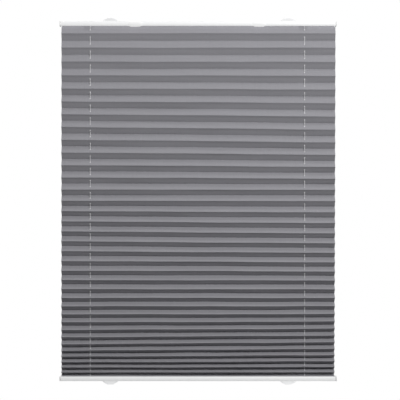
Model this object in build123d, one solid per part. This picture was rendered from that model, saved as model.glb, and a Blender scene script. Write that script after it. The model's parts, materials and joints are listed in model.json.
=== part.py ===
"""A pleated blind between two rails that slide on two taut cords.

Lengths are in millimetres. +Z is up, the front faces -Y and +X is to the viewer's right.
The origin is midway between the screw holes of the two top shoes, on the face that meets the window.
Small holes that repeat, and the spring's turns, are many-sided instead of round, which keeps the
whole blind light.
"""

import os

import numpy as np
from build123d import *

# Overall sizes
fixing_height = 909.0
rail_length = 700.0
cord_inset_left = 77.0
cord_inset_right = 80.0

# Rail section, the same for both rails
rail_height = 11.5
rail_depth = 23.0
rail_bow = 0.8
rail_wall = 1.1
lip_reach = 1.4
lip_thickness = 1.0
outer_channel_depth = 6.0
web_thickness = 1.0
seat_gap = 0.3

# End caps
cap_thickness = 3.5
cap_edge_chamfer = 0.8
cap_prong_length = 12.0
cap_prong_width = 2.6
slide_clearance = 0.1

# Cloth and the slats that its ends are glued to
cloth_side_gap = 5.0
cloth_thickness = 0.35
flap_length = 20.0
top_flap_tilt = 67.4
bottom_flap_tilt = 16.1
climb_power = 0.86
glue_line = 4.0
glue_gap = 0.2
punch_width = 1.4
punch_length = 4.0
punch_sides = 6
slat_thickness = 1.6
slat_hole_radius = 2.0
slat_side_clearance = 0.25

# Cords and what guides and holds them
cord_radius = 0.4
cord_clearance = 0.4
knot_radius = 1.2
shoe_length = 22.0
shoe_width = 14.0
shoe_height = 4.4
shoe_corner = 3.0
shoe_chamfer = 0.6
bore_sides = 8
screw_radius = 1.75
screw_offset = 6.0
screw_head_radius = 3.2
screw_head_depth = 1.5
guide_length = 14.0
guide_width = 9.0
guide_corner = 2.0
guide_flange = 1.0
guide_floor = 0.2
guide_neck_radius = 2.2
guide_neck_length = 1.7
guide_neck_clearance = 0.05
cross_cord_spread = 1.0

# Tension springs
spring_length = 90.0
spring_radius = 1.6
spring_wire = 0.45
spring_turns = 18
spring_sides = 8
spring_inset = 120.0
spring_spread = 2.2
spring_eye_radius = 1.2

# Grip tabs
handle_inset_left = 128.5
handle_inset_right = 122.5
handle_width = 37.0
handle_tip_width = 15.0
handle_height = 8.2
handle_thickness = 1.5
handle_corner = 1.5
handle_lean = 0.8
handle_foot_reach = 3.2

# Clips on the front of the top rail
clip_inset_left = 191.0
clip_inset_right = 196.0
clip_width = 34.0
clip_lip_width = 22.0
clip_lip_drop = 1.9
clip_thickness = 0.9
clip_corner = 2.0

# Worked out from the sizes above
rail_edge = rail_depth / 2 - rail_bow
channel_half = rail_edge - rail_wall
slot_half = channel_half - lip_reach
web_bottom = outer_channel_depth + web_thickness
body_length = rail_length - 2 * cap_thickness
cord_x = (rail_length - cord_inset_left - cord_inset_right) / 2
rail_left = -cord_x - cord_inset_left
rail_right = cord_x + cord_inset_right
rail_middle = (rail_left + rail_right) / 2
cloth_width = rail_length - 2 * cloth_side_gap
top_edge = -seat_gap
bottom_edge = -fixing_height + seat_gap
slat_seat = rail_height - lip_thickness
cloth_top = top_edge - slat_seat - glue_gap
cloth_bottom = bottom_edge + slat_seat + glue_gap
cross_cord_level = outer_channel_depth - guide_flange + cord_radius - slide_clearance
spring_level = outer_channel_depth - spring_radius - slide_clearance

FROM_LOW = (Align.CENTER, Align.CENTER, Align.MIN)
FROM_HIGH = (Align.CENTER, Align.CENTER, Align.MAX)


def on_top_rail(piece):
    """Carry a piece from the rail's own frame, where Z = 0 is its outer edge, to the top rail."""
    return Pos(0, 0, top_edge) * piece


def on_bottom_rail(piece):
    """Turn a piece made for the top rail upside down and carry it to the bottom rail."""
    return Pos(0, 0, bottom_edge) * mirror(piece, about=Plane.XY)


def straight_cord(start, end):
    """A round cord between two points."""
    run = Vector(*end) - Vector(*start)
    return Plane(origin=start, z_dir=run) * Cylinder(cord_radius, run.length, align=FROM_LOW)


def sided_hole(radius, depth, sides):
    """A many-sided cutter centred on the origin, along Z; radius is to its flats."""
    return extrude(RegularPolygon(radius, sides, major_radius=False), amount=depth / 2, both=True)


def cut_corners(length, width, corner):
    """A rectangle with its four corners cut off."""
    outline = Rectangle(length, width)
    return chamfer(outline.vertices(), corner)


def prism(points, width):
    """A side outline of (y, z) points, carried half the width to each side of X = 0."""
    outline = make_face(Polyline(*points, close=True))
    return extrude(Plane.YZ * outline, amount=width / 2, both=True)


def front_outline(points, corner):
    """A front outline of (x, z) points with rounded corners, deep enough to trim any piece of a rail."""
    outline = make_face(Polyline(*points, close=True))
    outline = fillet(outline.vertices(), corner)
    return extrude(Plane.XZ * outline, amount=rail_depth, both=True)


def rail_silhouette():
    """The outside of the rail's section: flat edges, and a front and back bowed by rail_bow."""
    half = rail_depth / 2
    middle = -rail_height / 2
    return make_face(
        [
            Line((-rail_edge, 0), (rail_edge, 0)),
            ThreePointArc((rail_edge, 0), (half, middle), (rail_edge, -rail_height)),
            Line((rail_edge, -rail_height), (-rail_edge, -rail_height)),
            ThreePointArc((-rail_edge, -rail_height), (-half, middle), (-rail_edge, 0)),
        ]
    )


def channel(low, high, half):
    """A rectangular space in the section, between two levels."""
    return Pos(0, (low + high) / 2) * Rectangle(2 * half, high - low)


def rail_section():
    """Two lipped channels back to back: the outer one takes the shoes, the inner one the slat."""
    section = rail_silhouette()
    section -= channel(-outer_channel_depth, -lip_thickness, channel_half)
    section -= channel(-outer_channel_depth, lip_thickness, slot_half)
    section -= channel(-slat_seat, -web_bottom, channel_half)
    section -= channel(-rail_height - lip_thickness, -web_bottom, slot_half)
    return section


def rail():
    """The extrusion, with a hole through its web for each cord guide."""
    body = extrude(Plane.YZ * rail_section(), amount=body_length / 2, both=True)
    body = Pos(rail_middle, 0, 0) * body
    hole = Cylinder(guide_neck_radius + guide_neck_clearance, rail_height)
    return body - [Pos(x, 0, -outer_channel_depth) * hole for x in (-cord_x, cord_x)]


def end_cap():
    """A cap for the right end: a rounded plate and two prongs that push into the outer channel."""
    plate = extrude(Plane.YZ * rail_silhouette(), amount=cap_thickness)
    plate = chamfer(plate.faces().sort_by(Axis.X)[-1].edges(), cap_edge_chamfer)
    height = outer_channel_depth - lip_thickness - 2 * slide_clearance
    prong = Box(
        cap_prong_length,
        cap_prong_width,
        height,
        align=(Align.MAX, Align.MAX, Align.MAX),
    )
    prong = chamfer(prong.faces().sort_by(Axis.X)[0].edges(), cap_edge_chamfer)
    back = Pos(0, channel_half - slide_clearance, -lip_thickness - slide_clearance) * prong
    return plate + back + mirror(back, about=Plane.XZ)


def slat():
    """The strip that one end of the cloth is glued to, lying on the lips of the inner channel."""
    strip = Box(cloth_width, 2 * (channel_half - slat_side_clearance), slat_thickness, align=FROM_LOW)
    strip = chamfer(strip.edges().filter_by(Axis.X), slat_thickness / 4)
    strip = Pos(rail_middle, 0, -slat_seat) * strip
    hole = sided_hole(slat_hole_radius, rail_height, punch_sides)
    return strip - [Pos(x, 0, -slat_seat) * hole for x in (-cord_x, cord_x)]


def cord_guide():
    """A flanged bush in the web: the cord runs down its bore and the crossing cords leave by its groove."""
    flange = extrude(cut_corners(guide_length, guide_width, guide_corner), amount=guide_flange)
    neck = Cylinder(guide_neck_radius, guide_neck_length, align=FROM_HIGH)
    bore = sided_hole(cord_radius + cord_clearance, 4 * guide_neck_length, bore_sides)
    groove = Box(
        guide_length,
        2 * (cross_cord_spread + cord_radius + cord_clearance),
        2 * guide_flange,
        align=(Align.MAX, Align.CENTER, Align.MIN),
    )
    guide = flange + neck - bore - Pos(0, 0, guide_floor) * groove
    return Pos(0, 0, -outer_channel_depth) * guide


def shoe():
    """A cord shoe: a pocket for the cord's knot, and a countersunk screw hole on its outer side."""
    body = extrude(cut_corners(shoe_length, shoe_width, shoe_corner), amount=-shoe_height)
    body = chamfer(body.faces().sort_by(Axis.Z)[0].edges(), shoe_chamfer)
    cord_hole = sided_hole(cord_radius + cord_clearance, 3 * shoe_height, bore_sides)
    pocket_depth = 2 * knot_radius + cord_clearance
    pocket = sided_hole(knot_radius + cord_clearance, 2 * pocket_depth, bore_sides)
    screw = Cylinder(screw_radius, 3 * shoe_height)
    head = Cone(screw_head_radius, screw_radius, screw_head_depth, align=FROM_LOW)
    body -= [cord_hole, pocket]
    return body - [Pos(screw_offset, 0, 0) * screw, Pos(screw_offset, 0, -shoe_height) * head]


def taut_cord(x):
    """One upright cord from the knot in a top shoe to the knot in the bottom shoe below it."""
    knot_drop = knot_radius + cord_clearance / 2
    high = (x, 0, -knot_drop)
    low = (x, 0, -fixing_height + knot_drop)
    knot = sided_hole(knot_radius, 2 * knot_radius, bore_sides)
    knot = chamfer(knot.faces().filter_by(Axis.Z).edges(), knot_radius / 3)
    return straight_cord(low, high) + Pos(*high) * knot + Pos(*low) * knot


def ridged_rod(rings):
    """A closed body over many-sided rings: a flat face for each side between neighbours, and two ends."""
    faces = [Face(Wire.make_polygon(ring)) for ring in (rings[0], rings[-1])]
    for ring, onward in zip(rings, rings[1:]):
        for j in range(len(ring)):
            corners = [ring[j - 1], ring[j], onward[j], onward[j - 1]]
            faces.append(Face(Wire.make_polygon(corners)))
    return Solid(Shell(faces))


def tension_spring():
    """A close-wound spring along X: a ridge for each turn, and an eye at each end."""
    angles = np.arange(spring_sides) * 2 * np.pi / spring_sides
    step = spring_length / (2 * spring_turns)
    rings = []
    for i in range(2 * spring_turns + 1):
        radius = spring_radius if i % 2 else spring_radius - spring_wire
        rings.append([(i * step, radius * np.cos(a), radius * np.sin(a)) for a in angles])
    outer = RegularPolygon(spring_eye_radius + spring_wire / 2, spring_sides)
    inner = RegularPolygon(spring_eye_radius - spring_wire / 2, spring_sides)
    eye = extrude(Plane.XZ * (outer - inner), amount=spring_wire / 2, both=True)
    eyes = [Pos(x, 0, 0) * eye for x in (-spring_eye_radius, spring_length + spring_eye_radius)]
    return Pos(-spring_length / 2, 0, 0) * (ridged_rod(rings) + eyes)


def spring_centre(side):
    """Where a spring lies: near the left end at the front (side -1), near the right end at the back."""
    end = rail_left if side < 0 else rail_right
    return (end - side * (spring_inset + spring_length / 2), side * spring_spread, -spring_level)


def cross_cord(side, with_spring):
    """The cord between the two guides inside a rail, in two stretches where a spring joins them."""
    y = side * cross_cord_spread
    left = (-cord_x + cord_radius, y, -cross_cord_level)
    right = (cord_x - cord_radius, y, -cross_cord_level)
    if not with_spring:
        return straight_cord(left, right)
    x, y, z = spring_centre(side)
    reach = spring_length / 2 + 2 * spring_eye_radius + spring_wire / 2
    return Compound(
        children=[
            straight_cord(left, (x - reach, y, z)),
            straight_cord((x + reach, y, z), right),
        ]
    )


def handle():
    """A grip tab: its foot hooks under the front lip and its tab stands up along the rail's front edge."""
    lip_low = -lip_thickness - slide_clearance
    foot_low = lip_low - handle_thickness
    stem_front = -slot_half + slide_clearance
    stem_back = stem_front + handle_thickness
    front = -rail_edge
    bridge_low = slide_clearance
    bridge_high = bridge_low + handle_thickness
    tip_front = front - handle_lean
    side = prism(
        [
            (stem_front - lip_reach, foot_low),
            (stem_front + handle_foot_reach, foot_low),
            (stem_front + handle_foot_reach, lip_low),
            (stem_back, lip_low),
            (stem_back, bridge_high),
            (front + handle_thickness, bridge_high),
            (front + handle_thickness, handle_height / 2),
            (tip_front + handle_thickness, handle_height - handle_thickness / 2),
            (tip_front + handle_thickness, handle_height),
            (tip_front, handle_height),
            (front, handle_height / 2),
            (front, bridge_low),
            (stem_front, bridge_low),
            (stem_front, lip_low),
            (stem_front - lip_reach, lip_low),
        ],
        handle_width,
    )
    half = handle_width / 2
    tip = handle_tip_width / 2
    shape = front_outline(
        [(-half, foot_low), (-half, bridge_high), (-tip, handle_height), (tip, handle_height)]
        + [(half, bridge_high), (half, foot_low)],
        handle_corner,
    )
    return side & shape


def rail_clip():
    """A snap-on clip: it follows the bowed front and turns in under the rail's lower lip."""
    inner = rail_edge + slide_clearance
    outer = inner + clip_thickness
    low = -rail_height - clip_lip_drop
    leg_front = slot_half - slide_clearance
    leg_back = leg_front - clip_thickness
    middle = -rail_height / 2
    bow = rail_bow
    shelf = -rail_height - slide_clearance
    outline = make_face(
        [
            Line((-inner, 0), (-outer, 0)),
            ThreePointArc((-outer, 0), (-outer - bow, middle), (-outer, -rail_height)),
            Line((-outer, -rail_height), (-outer, low)),
            Line((-outer, low), (-leg_back, low)),
            Line((-leg_back, low), (-leg_back, -slat_seat - slide_clearance)),
            Line((-leg_back, -slat_seat - slide_clearance), (-leg_front, -slat_seat - slide_clearance)),
            Line((-leg_front, -slat_seat - slide_clearance), (-leg_front, shelf)),
            Line((-leg_front, shelf), (-inner, shelf)),
            Line((-inner, shelf), (-inner, -rail_height)),
            ThreePointArc((-inner, -rail_height), (-inner - bow, middle), (-inner, 0)),
        ]
    )
    side = extrude(Plane.YZ * outline, amount=clip_width / 2, both=True)
    half = clip_width / 2
    lip = clip_lip_width / 2
    top = -clip_thickness
    shape = front_outline(
        [(-half, top), (-half, -rail_height), (-lip, low), (lip, low), (half, -rail_height), (half, top)],
        clip_corner / 2,
    )
    return side & shape


def fold_line():
    """The (y, z) of every crease, and the climb of every flap.

    A flap climbs sin(tilt) of its length. That share falls from the top flap to the bottom flap,
    because each pleat carries the cloth below it. The flap count is the odd number nearest to what
    fills the height, so the cloth starts at the back of the top slat and ends at the front of the
    bottom one, and the flap length is trimmed to fit.
    """
    height = cloth_top - cloth_bottom
    steep, flat = np.sin(np.radians([top_flap_tilt, bottom_flap_tilt]))
    mean_climb = flat + (steep - flat) / (climb_power + 1)
    count = 2 * round((height / (flap_length * mean_climb) - 1) / 2) + 1
    share = (np.arange(count) + 0.5) / count
    climb = flat + (steep - flat) * (1 - share) ** climb_power
    length = height / climb.sum()
    depth = length * np.sqrt(1 - climb**2)
    forward = np.where(np.arange(count) % 2 == 0, 1, -1)
    z = cloth_top - length * np.concatenate([[0], np.cumsum(climb)])
    y = depth[0] / 2 - np.concatenate([[0], np.cumsum(forward * depth)])
    y[0] = glue_line
    y[-1] = -glue_line
    return y, z, climb


def pleated_cloth():
    """One folded sheet: the crease line thickened to the cloth, carried across, with an oval punched
    hole in every flap for each cord, long enough for the cord to pass a steep flap."""
    y, z, climb = fold_line()
    crease_climb = np.convolve(np.concatenate([climb[:1], climb, climb[-1:]]), [0.5, 0.5], "valid")
    shift = cloth_thickness / 2 / crease_climb
    front = list(zip(y - shift, z))
    back = list(zip(y + shift, z))
    outline = make_face(Polyline(*front, *back[::-1], close=True))
    sheet = Pos(rail_middle, 0, 0) * extrude(Plane.YZ * outline, amount=cloth_width / 2, both=True)
    oval = scale(RegularPolygon(1, punch_sides), (punch_width / 2, punch_length / 2, 1))
    punch = extrude(oval, amount=punch_width / 2, both=True)
    punches = []
    for i in range(len(climb)):
        share = y[i] / (y[i] - y[i + 1])
        level = z[i] + share * (z[i + 1] - z[i])
        across = (0, z[i] - z[i + 1], y[i + 1] - y[i])
        for x in (-cord_x, cord_x):
            punches.append(Plane(origin=(x, 0, level), x_dir=(1, 0, 0), z_dir=across) * punch)
    return sheet - punches


def rail_set(name, place):
    """The pieces that both rails have, carried to their rail by place."""
    cap = end_cap()
    right_cap = Pos(rail_right - cap_thickness, 0, 0) * cap
    left_cap = Pos(rail_left + cap_thickness, 0, 0) * mirror(cap, about=Plane.YZ)
    left_guide = Pos(-cord_x, 0, 0) * mirror(cord_guide(), about=Plane.YZ)
    right_guide = Pos(cord_x, 0, 0) * cord_guide()
    pieces = {
        f"{name}_rail": rail(),
        f"{name}_cap_left": left_cap,
        f"{name}_cap_right": right_cap,
        f"{name}_slat": slat(),
        f"{name}_guide_left": left_guide,
        f"{name}_guide_right": right_guide,
        f"{name}_cross_cord_front": cross_cord(-1, name == "top"),
        f"{name}_cross_cord_back": cross_cord(1, name == "top"),
        f"{name}_handle_left": Pos(rail_left + handle_inset_left, 0, 0) * handle(),
        f"{name}_handle_right": Pos(rail_right - handle_inset_right, 0, 0) * handle(),
    }
    return {node: place(piece) for node, piece in pieces.items()}


def top_rail_extras():
    """The two clips and the two springs, which only the top rail has."""
    pieces = {
        "rail_clip_left": Pos(rail_left + clip_inset_left, 0, 0) * rail_clip(),
        "rail_clip_right": Pos(rail_right - clip_inset_right, 0, 0) * rail_clip(),
        "tension_spring_front": Pos(*spring_centre(-1)) * tension_spring(),
        "tension_spring_back": Pos(*spring_centre(1)) * tension_spring(),
    }
    return {node: on_top_rail(piece) for node, piece in pieces.items()}


def cord_set():
    """What stays with the window: the shoes, the two upright cords and the cloth on them."""
    right_shoe = Pos(cord_x, 0, 0) * shoe()
    left_shoe = mirror(right_shoe, about=Plane.YZ)
    upside_down = Pos(0, 0, -fixing_height)
    return {
        "shoe_top_left": left_shoe,
        "shoe_top_right": right_shoe,
        "shoe_bottom_left": upside_down * mirror(left_shoe, about=Plane.XY),
        "shoe_bottom_right": upside_down * mirror(right_shoe, about=Plane.XY),
        "left_cord": taut_cord(-cord_x),
        "right_cord": taut_cord(cord_x),
        "pleated_cloth": pleated_cloth(),
    }


def main():
    nodes = cord_set() | rail_set("top", on_top_rail) | rail_set("bottom", on_bottom_rail)
    nodes |= top_rail_extras()
    os.makedirs("parts", exist_ok=True)
    for node, piece in nodes.items():
        export_step(piece, f"parts/{node}.step")
    print(len(nodes), "nodes, cloth flaps", len(fold_line()[2]))


main()
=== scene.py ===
# %% [markdown]
# # A pleated blind, dressed for the studio
#
# The engineers' model of this blind says where every piece is and how the rails slide. It is loaded
# here as a fixed frame, in metres. Nothing in it is moved: this script only puts finer surfaces where
# its plain ones are, gives each a finish, and lights the whole as the photograph is lit.

import json
import math

import bpy
import numpy as np
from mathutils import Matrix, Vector

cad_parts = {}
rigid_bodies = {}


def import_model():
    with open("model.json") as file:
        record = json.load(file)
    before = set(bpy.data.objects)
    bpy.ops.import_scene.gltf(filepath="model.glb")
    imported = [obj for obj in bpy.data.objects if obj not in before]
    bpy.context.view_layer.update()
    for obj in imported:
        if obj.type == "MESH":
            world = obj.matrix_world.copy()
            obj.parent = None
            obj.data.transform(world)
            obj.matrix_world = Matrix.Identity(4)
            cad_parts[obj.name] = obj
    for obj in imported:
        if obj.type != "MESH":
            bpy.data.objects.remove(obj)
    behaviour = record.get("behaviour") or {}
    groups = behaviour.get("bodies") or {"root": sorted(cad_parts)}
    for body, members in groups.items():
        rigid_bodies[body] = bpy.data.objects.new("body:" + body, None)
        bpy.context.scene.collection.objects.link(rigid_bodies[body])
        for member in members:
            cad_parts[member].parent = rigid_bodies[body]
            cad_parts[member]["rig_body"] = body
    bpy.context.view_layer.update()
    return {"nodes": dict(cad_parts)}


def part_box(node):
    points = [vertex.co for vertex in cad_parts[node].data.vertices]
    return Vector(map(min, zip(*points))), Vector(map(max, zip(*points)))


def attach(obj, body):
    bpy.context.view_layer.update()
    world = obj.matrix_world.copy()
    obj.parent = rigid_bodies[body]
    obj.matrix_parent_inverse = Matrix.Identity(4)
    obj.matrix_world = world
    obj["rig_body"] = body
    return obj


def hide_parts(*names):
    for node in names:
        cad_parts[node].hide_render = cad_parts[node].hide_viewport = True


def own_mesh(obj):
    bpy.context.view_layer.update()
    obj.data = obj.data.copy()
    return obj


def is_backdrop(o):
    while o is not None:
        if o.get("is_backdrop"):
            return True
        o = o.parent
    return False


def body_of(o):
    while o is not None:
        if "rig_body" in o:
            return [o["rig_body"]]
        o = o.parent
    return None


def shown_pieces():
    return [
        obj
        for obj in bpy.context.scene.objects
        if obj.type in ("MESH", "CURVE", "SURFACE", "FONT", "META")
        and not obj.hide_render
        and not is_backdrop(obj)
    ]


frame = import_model()

# %% [markdown]
# ## Sizes
#
# The drawing sizes of the blind are in millimetres, so one name turns them into metres. Where a size
# can be read from the frame, it is: the rails, the cloth and the cords stay where their nodes are. The
# blind is the same at both ends, so most pieces come in pairs, made by a loop over these words.

# %% Sizes that every piece shares
mm = 0.001
rail_low, rail_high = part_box("top_rail")
cloth_low, cloth_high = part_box("pleated_cloth")
bottom_low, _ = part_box("bottom_rail")
rail_middle = (rail_low.x + rail_high.x) / 2
rail_height = rail_high.z - rail_low.z
rail_half = (rail_high.y - rail_low.y) / 2
rail_bow = 0.8 * mm
rail_edge = rail_half - rail_bow
rail_words = ("top", "bottom")
side_words = ("left", "right")
print("rail height and half depth in mm:", round(rail_height / mm, 2), round(rail_half / mm, 2))

# %% [markdown]
# ## Turning arrays into pieces
#
# Blender's own shapes could be pushed and pulled into place, but these pieces follow from a drawing, so
# every new surface below is an array of points worked out at once. new_piece puts such an array into a
# mesh, ring_faces closes a skin that runs from ring to ring, such as a rail or a cord, and joined puts
# several skins into one piece.


# %% Meshes from arrays
def new_piece(name, points, faces, uv=None, crisp=35.0):
    """A mesh object at the origin. Edges that turn by more than crisp degrees stay sharp."""
    mesh = bpy.data.meshes.new(name)
    mesh.from_pydata(np.reshape(points, (-1, 3)), [], faces)
    if uv is not None:
        corners = np.empty(len(mesh.loops), np.int32)
        mesh.loops.foreach_get("vertex_index", corners)
        mesh.uv_layers.new(name="UVMap").data.foreach_set("uv", np.reshape(uv, (-1, 2))[corners].ravel())
    mesh.shade_smooth()
    mesh.set_sharp_from_angle(angle=math.radians(crisp))
    piece = bpy.data.objects.new(name, mesh)
    bpy.context.scene.collection.objects.link(piece)
    return piece


def ring_faces(count, around, closed=False):
    """Quads between neighbouring rings, then a lid on each end unless the rings join up in a loop.

    Corner j of ring i is number i * around + j. A quad goes j, j + 1 on one ring and back on the next."""
    i, j = np.meshgrid(np.arange(count if closed else count - 1), np.arange(around), indexing="ij")
    across, onward = (j + 1) % around, (i + 1) % count
    corners = [i * around + j, i * around + across, onward * around + across, onward * around + j]
    faces = np.stack(corners, -1).reshape(-1, 4).tolist()
    if not closed:
        faces += [list(range(around))[::-1], list(range((count - 1) * around, count * around))]
    return faces


def joined(*parts):
    """Several (points, faces) as one: each part's corner numbers are raised by the corners before it."""
    points, faces = [], []
    for part_points, part_faces in parts:
        start = sum(len(p) for p in points)
        points.append(np.reshape(part_points, (-1, 3)))
        faces += [[start + corner for corner in face] for face in part_faces]
    return np.concatenate(points), faces


print("mesh helpers ready")

# %% [markdown]
# ## Corners that are soft
#
# Nothing real has a perfectly sharp corner, and a soft one catches a thin line of light. The same rule
# serves a rail's outline and the cloth's creases: a parabola that leaves one side a little before the
# corner and meets the other side a little after it.


# %% Softened corners
def soft_corners(before, corner, after, reach, steps):
    """Points on a parabola round each corner.

    It starts at A, reach from the corner towards the point before it, and ends at B, reach towards the
    point after it. At share t it is at (1-t)^2 A + 2t(1-t) corner + t^2 B. A new axis holds the steps."""
    reach = np.asarray(reach)[..., None]
    start = corner + reach * (before - corner) / np.linalg.norm(before - corner, axis=-1, keepdims=True)
    end = corner + reach * (after - corner) / np.linalg.norm(after - corner, axis=-1, keepdims=True)
    t = np.linspace(0, 1, steps).reshape((steps,) + (1,) * corner.ndim)
    return (1 - t) ** 2 * start + 2 * t * (1 - t) * corner + t**2 * end


def soft_outline(corners, reach, steps=4):
    """A closed (y, z) outline with softened corners, turning anticlockwise as seen from +X."""
    corners = np.asarray(corners, float)
    y, z = corners.T
    if (y * np.roll(z, -1) - np.roll(y, -1) * z).sum() < 0:
        corners = corners[::-1]
    before, after = np.roll(corners, 1, 0), np.roll(corners, -1, 0)
    bends = soft_corners(before, corners, after, np.full(len(corners), reach), steps)
    return bends.transpose(1, 0, 2).reshape(-1, 2)


def inset(outline, distance):
    """The outline moved inwards: each point goes along the normal of the line through its neighbours."""
    along = np.roll(outline, -1, 0) - np.roll(outline, 1, 0)
    along /= np.linalg.norm(along, axis=1, keepdims=True)
    return outline + distance * np.stack([-along[:, 1], along[:, 0]], 1)


print("corner helpers ready")

# %% [markdown]
# ## Shader maths
#
# A finish could be wired by hand, node by node, but it is easier to read as a sum than as a web of
# nodes. Measure wraps one socket, so that ordinary arithmetic on it adds Math nodes. Python tries the
# number first in 1 - mask, and falls back on the reflected form that Measure has.


# %% Sums that become nodes
class Measure:
    """What one socket gives. Arithmetic on it adds Math nodes to its wiring."""

    def __init__(self, wiring, socket):
        self.wiring = wiring
        self.socket = socket

    def math(self, operation, *values):
        return self.wiring.node("ShaderNodeMath", {"operation": operation}, dict(enumerate(values)))

    def __add__(self, other):
        return self.math("ADD", self, other)

    def __sub__(self, other):
        return self.math("SUBTRACT", self, other)

    def __rsub__(self, other):
        return self.math("SUBTRACT", other, self)

    def __mul__(self, other):
        return self.math("MULTIPLY", self, other)

    def __truediv__(self, other):
        return self.math("DIVIDE", self, other)

    def __gt__(self, other):
        return self.math("GREATER_THAN", self, other)

    __radd__ = __add__
    __rmul__ = __mul__

    def sine(self):
        return self.math("SINE", self)

    def size(self):
        return self.math("ABSOLUTE", self)


print("sums become nodes")

# %% [markdown]
# Every other node comes from one method of Wiring, which holds a node tree: a material's, or the one of
# the surround. Finish is the wiring of a material. It keeps the surface shader, and has short names for
# the patterns that more than one finish uses.


# %% Wiring and finishes
def spaced(sockets):
    """Socket names as Blender writes them: Base_Color becomes Base Color."""
    return {name.replace("_", " "): value for name, value in sockets.items()}


class Wiring:
    """A node tree, and the one way to add a node to it."""

    def __init__(self, tree):
        self.tree = tree
        self.tree.nodes.clear()

    def node(self, kind, settings, sockets, output=0):
        """Adds a node: its settings first, then the numbers, colours or links of its sockets.

        It gives back one output of the node, or nothing where the node has none."""
        made = self.tree.nodes.new(kind)
        for name, value in settings.items():
            setattr(made, name, value)
        for key, value in sockets.items():
            self.feed(made.inputs[key], value)
        return Measure(self, made.outputs[output]) if made.outputs else None

    def feed(self, socket, value):
        """Links a Measure to a socket, or sets a plain number or colour on it."""
        if isinstance(value, Measure):
            self.tree.links.new(value.socket, socket)
        else:
            socket.default_value = value


class Finish(Wiring):
    """A material built from nodes, and the settings of its surface shader."""

    def __init__(self, name, **constants):
        self.material = bpy.data.materials.new(name)
        self.material.use_nodes = True
        super().__init__(self.material.node_tree)
        surface = self.node("ShaderNodeBsdfPrincipled", {}, spaced(constants))
        self.node("ShaderNodeOutputMaterial", {}, {"Surface": surface})
        self.shader = surface.socket.node

    def drive(self, **sockets):
        """Feeds what changes over the surface to the shader."""
        for name, value in spaced(sockets).items():
            self.feed(self.shader.inputs[name], value)

    def blend(self, share, first, second):
        """A colour between two, by a share from 0 to 1."""
        return self.node("ShaderNodeMix", {"data_type": "RGBA"}, {0: share, 6: first, 7: second}, 2)

    def place(self):
        """The place on the piece, in metres."""
        return self.node("ShaderNodeTexCoord", {}, {}, "Object")

    def across(self):
        """The two directions of the piece's own map, which is in metres."""
        spot = self.node("ShaderNodeUVMap", {"uv_map": "UVMap"}, {})
        split = self.node("ShaderNodeSeparateXYZ", {}, {0: spot})
        return split, Measure(self, split.socket.node.outputs[1])

    def cloud(self, spot, scale, detail=2.0):
        """Soft noise from 0 to 1 at a place."""
        return self.node("ShaderNodeTexNoise", {}, {"Vector": spot, "Scale": scale, "Detail": detail})

    def streaks(self, first, second):
        """Noise drawn out one way: two directions of the map, each times its own number, are its place."""
        return self.cloud(self.node("ShaderNodeCombineXYZ", {}, {0: first, 1: second}), 1.0)

    def relief(self, height, depth, strength=1.0):
        """A normal from a height between 0 and 1 that stands for depth in metres."""
        return self.node("ShaderNodeBump", {}, {"Strength": strength, "Distance": depth, "Height": height})


def grey(level, warmth=0.0):
    """An opaque colour near grey. Warmth above 0 leans to red and below 0 to blue."""
    return (level * (1 + warmth), level, level * (1 - warmth), 1.0)


print("finishes can be built")

# %% [markdown]
# ## Camera
#
# The photograph is a straight front view in which the pleats stay nearly level from top to bottom. A
# flat, orthographic camera would make them quite level, but a photographer has a real lens, so this is
# a long one from 4.2 m. It points at the middle of the picture, and the rail's middle lies a little to
# the left of that, at a column of the picture which is named below.

# %% Camera
picture_width = 400
metres_per_pixel = 2.532 * mm
camera_distance = 4.2
sensor = 36.0
rail_column = 198.0
middle_level = -0.4514
camera_x = rail_middle + (picture_width / 2 - rail_column) * metres_per_pixel
camera_data = bpy.data.cameras.new("camera")
camera_data.sensor_width = sensor
camera_data.lens = sensor * camera_distance / (picture_width * metres_per_pixel)
camera = bpy.data.objects.new("camera", camera_data)
camera.location = (camera_x, -camera_distance, middle_level)
camera.rotation_euler = (math.radians(90), 0, 0)
bpy.context.scene.collection.objects.link(camera)
bpy.context.scene.camera = camera
print("lens in mm:", round(camera_data.lens, 1))

# %% [markdown]
# ## Light
#
# Each pleat shows a light flap that faces up and a dark one that faces down. Their difference tells
# where the light comes from: a soft box in front, a little high and to the right, and a second one
# overhead. A third lamp, behind, only shows the back when the blind is seen from there.

# %% Soft boxes
box_width = 1.2
lamps = {
    "key": (Vector((1.92, -4.11, 1.66)), 215.0),
    "overhead": (Vector((1.35, -1.5, 4.1)), 65.0),
    "behind": (Vector((-1.5, 3.8, 1.2)), 150.0),
}


def soft_box(name, place, power):
    """A square lamp aimed at the middle of the blind, which the camera doesn't see."""
    lamp = bpy.data.lights.new(name, "AREA")
    lamp.energy = power
    lamp.size = box_width
    box = bpy.data.objects.new(name, lamp)
    box.location = place
    aim = Vector((rail_middle, 0, middle_level)) - place
    box.rotation_euler = aim.to_track_quat("-Z", "Y").to_euler()
    box.visible_camera = False
    bpy.context.scene.collection.objects.link(box)


for name, (place, power) in lamps.items():
    soft_box(name, place, power)
print("soft boxes:", len(lamps))

# %% [markdown]
# The dark flaps aren't black, because a pale room sends some light back up. The surround does that: it
# glows from below and fades to nothing above. A real room would do it too, but would take its own model.
# The camera alone sees a clean white ground instead, as in the photograph.

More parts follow.
